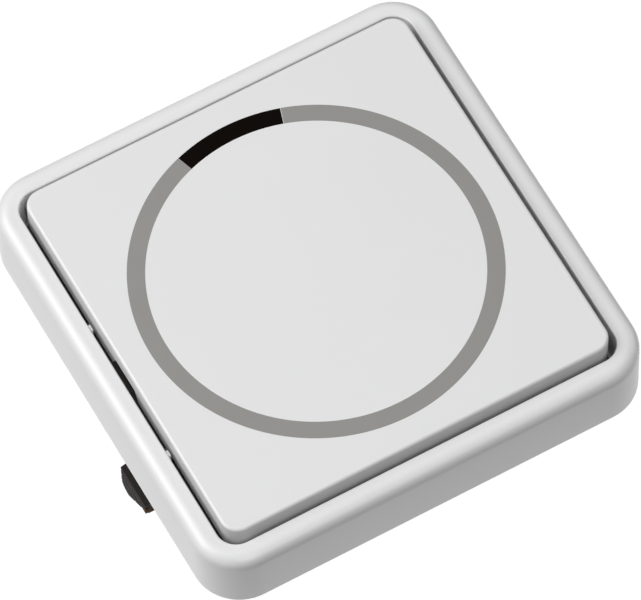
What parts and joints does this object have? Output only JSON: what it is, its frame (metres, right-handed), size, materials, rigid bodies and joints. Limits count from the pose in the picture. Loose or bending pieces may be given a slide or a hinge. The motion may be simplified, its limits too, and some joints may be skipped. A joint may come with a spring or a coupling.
{
  "type": "dimmer switch",
  "caption": "Flush wall dimmer with a square frame, a sprung push cover with an arc window, an insert with spreader claws and screw terminals.",
  "frame": {"origin": "centre of the back of the support ring, in the wall plane", "axes": "+Z out of the wall towards the user, +Y up the wall towards the arc window, +X to the user's right"},
  "size_m": [0.08, 0.08, 0.0465],
  "materials": {
    "white_frame": "fine satin moulding",
    "white_cover": "fine satin moulding",
    "dark_window": "polished infrared filter",
    "zinc_steel": "zinc plated",
    "black_plastic": "moulded",
    "gold_pins": "gold plated",
    "dark_steel": "blackened",
    "board_green": "coated glass laminate",
    "clear_lens": "clear",
    "spring_steel": "drawn wire",
    "white_plunger": "moulded",
    "ferrite": "sintered",
    "copper": "enamelled wire",
    "film_case": "moulded",
    "aluminium_can": "satin",
    "blue_coating": "dipped",
    "brass": "plain"
  },
  "bodies": {
    "base": {"frame": "white_frame", "support_ring": "zinc_steel", "housing": "black_plastic", "insert_front": "black_plastic", "front_screws": "zinc_steel", "module_carrier": "black_plastic", "control_board": "board_green", "control_chip": "black_plastic", "ir_receiver": "dark_window", "status_led": "clear_lens", "micro_switch": "black_plastic", "link_pins": "gold_pins", "link_socket": "black_plastic", "return_springs": "spring_steel", "claw_pins": "zinc_steel", "main_board": "board_green", "choke_core": "ferrite", "choke_winding": "copper", "filter_capacitor": "film_case", "electrolytic_capacitors": "aluminium_can", "varistor": "blue_coating", "heat_spreader": "aluminium_can", "power_transistor": "black_plastic", "fuse": "clear_lens", "fuse_clips": "brass", "terminal_block": "black_plastic", "terminal_contacts": "brass"},
    "cover": {"cover_plate": "white_cover", "ir_window": "dark_window"},
    "switch_plunger": {"switch_plunger": "white_plunger"},
    "claw_left": {"claw_left": "dark_steel"},
    "claw_right": {"claw_right": "dark_steel"},
    "claw_screw_left": {"claw_screw_left": "zinc_steel"},
    "claw_screw_right": {"claw_screw_right": "zinc_steel"},
    "terminal_screw_1": {"terminal_screw_1": "zinc_steel"},
    "terminal_clamp_1": {"terminal_clamp_1": "zinc_steel"},
    "terminal_screw_2": {"terminal_screw_2": "zinc_steel"},
    "terminal_clamp_2": {"terminal_clamp_2": "zinc_steel"},
    "terminal_screw_3": {"terminal_screw_3": "zinc_steel"},
    "terminal_clamp_3": {"terminal_clamp_3": "zinc_steel"}
  },
  "joints": [
    {"name": "cover_press", "type": "slide", "parent": "base", "child": "cover", "axis": [0, 0, -1], "range_m": [0, 0.001], "stiffness_N_per_m": 2500, "springref_m": -0.0005, "deforming": ["return_springs"]},
    {"name": "plunger_press", "type": "slide", "parent": "base", "child": "switch_plunger", "axis": [0, 0, -1], "range_m": [0, 0.001]},
    {"name": "claw_screw_right_turn", "type": "hinge", "parent": "base", "child": "claw_screw_right", "pos_m": [0.0264, 0, 0.0012], "axis": [0, 0, 1], "range_deg": [0, 1040]},
    {"name": "claw_right_swing", "type": "hinge", "parent": "base", "child": "claw_right", "pos_m": [0.023, 0, -0.0026], "axis": [0, 1, 0], "range_deg": [0, 23]},
    {"name": "claw_screw_left_turn", "type": "hinge", "parent": "base", "child": "claw_screw_left", "pos_m": [-0.0264, 0, 0.0012], "axis": [0, 0, 1], "range_deg": [0, 1040]},
    {"name": "claw_left_swing", "type": "hinge", "parent": "base", "child": "claw_left", "pos_m": [-0.023, 0, -0.0026], "axis": [0, -1, 0], "range_deg": [0, 23]},
    {"name": "terminal_screw_1_turn", "type": "hinge", "parent": "base", "child": "terminal_screw_1", "pos_m": [-0.0092, -0.019, -0.0302], "axis": [0, 0, 1], "range_deg": [0, 1080]},
    {"name": "terminal_clamp_1_slide", "type": "slide", "parent": "base", "child": "terminal_clamp_1", "axis": [0, 0, -1], "range_m": [0, 0.0015]},
    {"name": "terminal_screw_2_turn", "type": "hinge", "parent": "base", "child": "terminal_screw_2", "pos_m": [0, -0.019, -0.0302], "axis": [0, 0, 1], "range_deg": [0, 1080]},
    {"name": "terminal_clamp_2_slide", "type": "slide", "parent": "base", "child": "terminal_clamp_2", "axis": [0, 0, -1], "range_m": [0, 0.0015]},
    {"name": "terminal_screw_3_turn", "type": "hinge", "parent": "base", "child": "terminal_screw_3", "pos_m": [0.0092, -0.019, -0.0302], "axis": [0, 0, 1], "range_deg": [0, 1080]},
    {"name": "terminal_clamp_3_slide", "type": "slide", "parent": "base", "child": "terminal_clamp_3", "axis": [0, 0, -1], "range_m": [0, 0.0015]}
  ],
  "couplings": [
    {"joint": "plunger_press", "follows": "cover_press", "ratio": 1},
    {"joint": "claw_screw_right_turn", "follows": "claw_right_swing", "ratio": 45.2},
    {"joint": "claw_screw_left_turn", "follows": "claw_left_swing", "ratio": 45.2},
    {"joint": "terminal_screw_1_turn", "follows": "terminal_clamp_1_slide", "rad_per_m": 12566},
    {"joint": "terminal_screw_2_turn", "follows": "terminal_clamp_2_slide", "rad_per_m": 12566},
    {"joint": "terminal_screw_3_turn", "follows": "terminal_clamp_3_slide", "rad_per_m": 12566}
  ]
}
